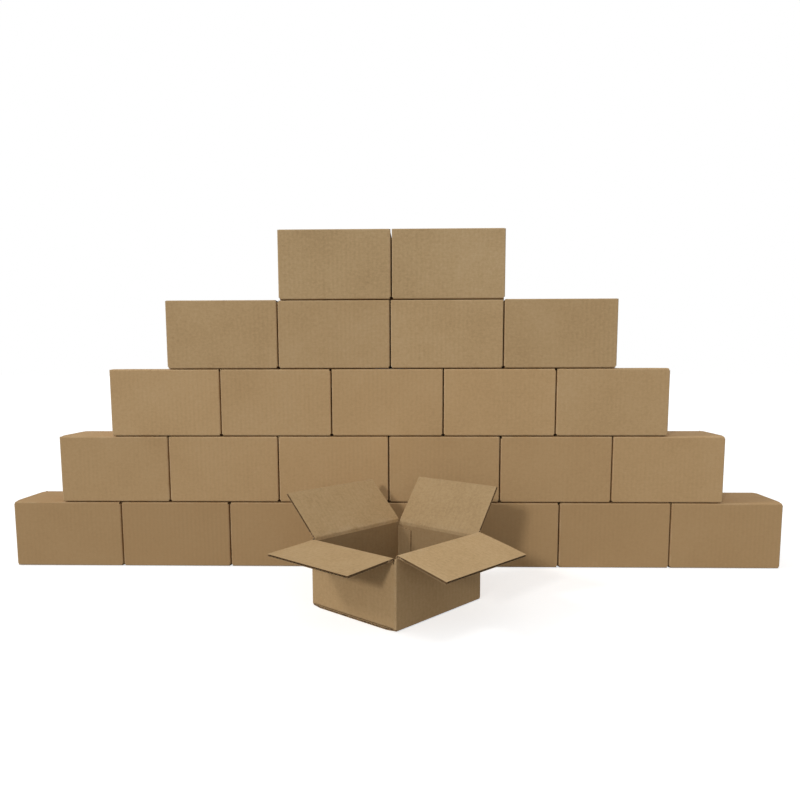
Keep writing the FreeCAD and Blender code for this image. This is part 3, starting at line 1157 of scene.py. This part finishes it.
@dataclass
class CartonWall:
    """The stepped wall of closed cartons."""

    height: float = 0.1285
    counts: tuple[int, ...] = (7, 6, 5, 4, 2)
    uncovered: tuple[tuple[int, int], ...] = ((4, 1), (4, 4), (5, 1), (5, 2))
    # Lightness of each course from the bottom up: the bottom course is drawn darker as painted
    # shade near the floor, and the others differ as their boards do.
    tones: tuple[float, ...] = (0.94, 1.04, 1.08, 1.03, 1.04)
    side_ease: float = 0.0004

    def build(self, finishes: Finishes) -> None:
        """Build each carton where its solid stands, with the flaps of the uncovered ones."""
        chance = random.Random(41)
        for course, count in enumerate(self.counts, start=1):
            for number in range(1, count + 1):
                node = f"carton_{course}_{number}"
                corner, far_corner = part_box(node)
                free = (course, number) in self.uncovered
                tone = self.tones[course - 1] + chance.uniform(-0.03, 0.03)
                warmth = min(max((5 - course) * 0.16 + chance.uniform(-0.06, 0.06), 0.0), 1.0)
                carton = Carton(node=node, length=far_corner.x - corner.x - 2 * self.side_ease,
                                width=far_corner.y - corner.y, height=self.height,
                                place=Matrix.Translation(corner + Vector((self.side_ease, 0, 0))),
                                top=Top.HINGED_OUTER if free else Top.FOLDED,
                                seed=100 * course + number, tone=tone, warmth=warmth)
                carton.build(finishes)
                LOG.info("%s: closed carton", node)
                if free:
                    self._flaps(carton, finishes)

    @staticmethod
    def _flaps(carton: Carton, finishes: Finishes) -> None:
        """Hang the two outer flaps of an uncovered carton."""
        inset = BOARD.slot_inset
        for side, x, y, turned in (("front", inset, 0, 0),
                                   ("back", carton.length - inset, carton.width, 180)):
            FlutedFlap(node=f"{carton.node}_{side}_flap", hinge_length=carton.length - 2 * inset,
                       reach=(carton.width - BOARD.meeting_gap) / 2,
                       seat=turned_place(carton.place, (x, y, carton.height), turned), opened=0.0,
                       seed=carton.seed + len(side), slot="kraft_board", rounded_root=True,
                       tone=carton.tone, warmth=carton.warmth).build(finishes)


@dataclass
class OpenCarton:
    """The carton that stands open on one corner's turn in front of the wall."""

    length: float = 0.211
    width: float = 0.186
    height: float = 0.112
    turn: float = 49.3
    corner: tuple[float, float, float] = (0.0155, -0.207546, 0.0)
    outer_inset: float = 0.0042

    @property
    def place(self) -> Matrix:
        """Where the carton stands."""
        return turned_place(Matrix(), self.corner, self.turn)

    def flaps(self) -> list[FlutedFlap]:
        """Give the four flaps, each on its own side."""
        inner_top = self.height - BOARD.thickness - BOARD.layer_gap
        inset = BOARD.thickness + BOARD.flap_clearance + BOARD.mitre
        long_hinge = self.length - 2 * self.outer_inset
        short_hinge = self.width - 2 * inset
        outer = self.outer_inset
        # The last number of each row draws that flap lighter or darker, as painted light and shade
        # for how the light falls on its side.
        layout = (
            ("front_right", long_hinge, (outer, 0, self.height), 0, 193.0,
             Curl(0.0012, 0.0008, 0.0), 1.12),
            ("back_left", long_hinge, (self.length - outer, self.width, self.height), 180, 135.0,
             Curl(0.0008, 0.001, 0.0004), 1.03),
            ("front_left", short_hinge, (0, self.width - inset, inner_top), -90, 184.0,
             Curl(-0.0008, 0.0008, 0.0), 1.0),
            ("back_right", short_hinge, (self.length, inset, inner_top), 90, 126.0,
             Curl(-0.0008, 0.0006, -0.0004), 0.79),
        )
        return [FlutedFlap(node=f"open_flap_{side}", hinge_length=hinge_length,
                           reach=(self.width - BOARD.meeting_gap) / 2,
                           seat=turned_place(self.place, spot, turned), opened=opened,
                           seed=7 + number, curl=curl, tone=tone)
                for number, (side, hinge_length, spot, turned, opened, curl, tone)
                in enumerate(layout)]

    def build(self, finishes: Finishes) -> None:
        """Build the body, the flaps and the folds that join them."""
        # The inside faces are drawn darker, as painted shade of the open carton's interior.
        Carton(node="open_carton", length=self.length, width=self.width, height=self.height,
               place=self.place, top=Top.HINGED_ALL, seed=77, warmth=0.3, inside_painted_shade=0.63,
               bow=0.0005).build(finishes)
        LOG.info("open_carton: body with its glued strip")
        for flap in self.flaps():
            flap.build(finishes)


@dataclass(frozen=True)
class Lamp:
    """A far soft lamp: where its light comes from, how strong it is and how wide it looks."""

    name: str
    toward: tuple[float, float, float]
    strength: float
    width_degrees: float


@dataclass
class Studio:
    """Floor, light and camera."""

    lamps: tuple[Lamp, ...] = (
        Lamp("key", (-0.421, -0.826, 0.375), 0.78, 7.0),
        Lamp("side", (-0.776, -0.137, 0.616), 0.64, 10.0),
    )
    surround: float = 0.48
    floor_half: float = 30.0
    floor_glow: float = 0.62
    floor_seen: float = 0.80
    floor_bounce: float = 0.30
    focal_pixels: float = 729.97
    principal_row: float = 455.06
    frame_pixels: float = 800.0
    eye: tuple[float, float, float] = (0.0485, -1.2425, 0.3902)
    pitch: float = 0.1213
    yaw: float = 0.0256
    roll: float = -0.0024

    def build(self) -> None:
        """Set the scene up."""
        self._floor()
        self._world()
        for lamp in self.lamps:
            self._lamp(lamp)
        self._camera()
        bpy.context.scene.view_settings.view_transform = "Standard"
        LOG.info("studio: floor, %d lamps and camera", len(self.lamps))

    def _floor(self) -> None:
        """Lay a white floor that shows white to the camera and keeps the shadow."""
        mesh = bpy.data.meshes.new("floor")
        half = self.floor_half
        mesh.from_pydata([(-half, -half, 0), (half, -half, 0), (half, half, 0), (-half, half, 0)],
                         [], [(0, 1, 2, 3)])
        floor = new_piece("floor", mesh)
        material = bpy.data.materials.new("white_floor")
        material.use_nodes = True
        nodes = Nodes(material.node_tree)
        shader = material.node_tree.nodes["Principled BSDF"]
        seen = nodes.add("ShaderNodeLightPath").outputs["Is Camera Ray"]
        glow = nodes.add("ShaderNodeEmission", {"Strength": nodes.times(seen, self.floor_glow)})
        bounced, shown = ((grey, grey, grey, 1.0) for grey in (self.floor_bounce, self.floor_seen))
        nodes.feed(shader, {"Roughness": 0.9, "Specular IOR Level": 0.0,
                            "Base Color": nodes.blended(seen, bounced, shown)})
        both = nodes.add("ShaderNodeAddShader", {0: shader.outputs[0], 1: glow.outputs[0]})
        nodes.feed(material.node_tree.nodes["Material Output"], {"Surface": both.outputs[0]})
        mesh.materials.append(material)

    def _world(self) -> None:
        """Light from all round, with a white background for the camera and for reflections."""
        world = bpy.data.worlds.new("surround")
        world.use_nodes = True
        bpy.context.scene.world = world
        nodes = Nodes(world.node_tree)
        path = nodes.add("ShaderNodeLightPath").outputs
        seen = path["Is Camera Ray"]
        for ray in ("Is Glossy Ray", "Is Transmission Ray"):
            seen = nodes.maths("MAXIMUM", seen, path[ray])
        rest = nodes.times(nodes.minus(1.0, seen), self.surround)
        nodes.feed(world.node_tree.nodes["Background"], {
            "Color": (1.0, 1.0, 1.0, 1.0), "Strength": nodes.plus(seen, rest)})

    @staticmethod
    def _lamp(lamp: Lamp) -> None:
        """Add one soft lamp, aimed at the object."""
        light = bpy.data.lights.new(lamp.name, "SUN")
        light.energy = lamp.strength
        light.angle = math.radians(lamp.width_degrees)
        holder = bpy.data.objects.new(lamp.name, light)
        holder.location = lamp.toward
        holder.rotation_euler = Vector(lamp.toward).to_track_quat("Z", "Y").to_euler()
        bpy.context.scene.collection.objects.link(holder)

    @staticmethod
    def _turned(first: Vector, second: Vector, angle: float) -> tuple[Vector, Vector]:
        """Turn two axes in their plane, the first towards the second."""
        return (first * math.cos(angle) + second * math.sin(angle),
                second * math.cos(angle) - first * math.sin(angle))

    def _camera(self) -> None:
        """Add the camera at the photograph's place, tilt and frame."""
        right, forward, up = Vector((1, 0, 0)), Vector((0, 1, 0)), Vector((0, 0, 1))
        right, forward = self._turned(right, forward, self.yaw)
        up, forward = self._turned(up, forward, self.pitch)
        right, up = self._turned(right, up, self.roll)
        lens = bpy.data.cameras.new("camera")
        lens.sensor_width = 36.0
        lens.lens = self.focal_pixels / self.frame_pixels * lens.sensor_width
        lens.shift_y = (self.principal_row - self.frame_pixels / 2) / self.frame_pixels
        lens.clip_start = 0.05
        camera = bpy.data.objects.new("camera", lens)
        turned = Matrix((right, up, -forward)).transposed().to_4x4()
        camera.matrix_world = Matrix.Translation(self.eye) @ turned
        bpy.context.scene.collection.objects.link(camera)
        bpy.context.scene.camera = camera


def corners(box: Sequence[Sequence[float]]) -> list[list[float]]:
    """Give a box's two corners as plain lists of numbers."""
    return [[float(value) for value in corner] for corner in box]


def main() -> None:
    """Build the whole scene."""
    logging.basicConfig(level=logging.INFO, format="%(message)s")
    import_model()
    finishes = Finishes()
    CartonWall().build(finishes)
    OpenCarton().build(finishes)
    Studio().build()


if __name__ == "__main__":
    main()
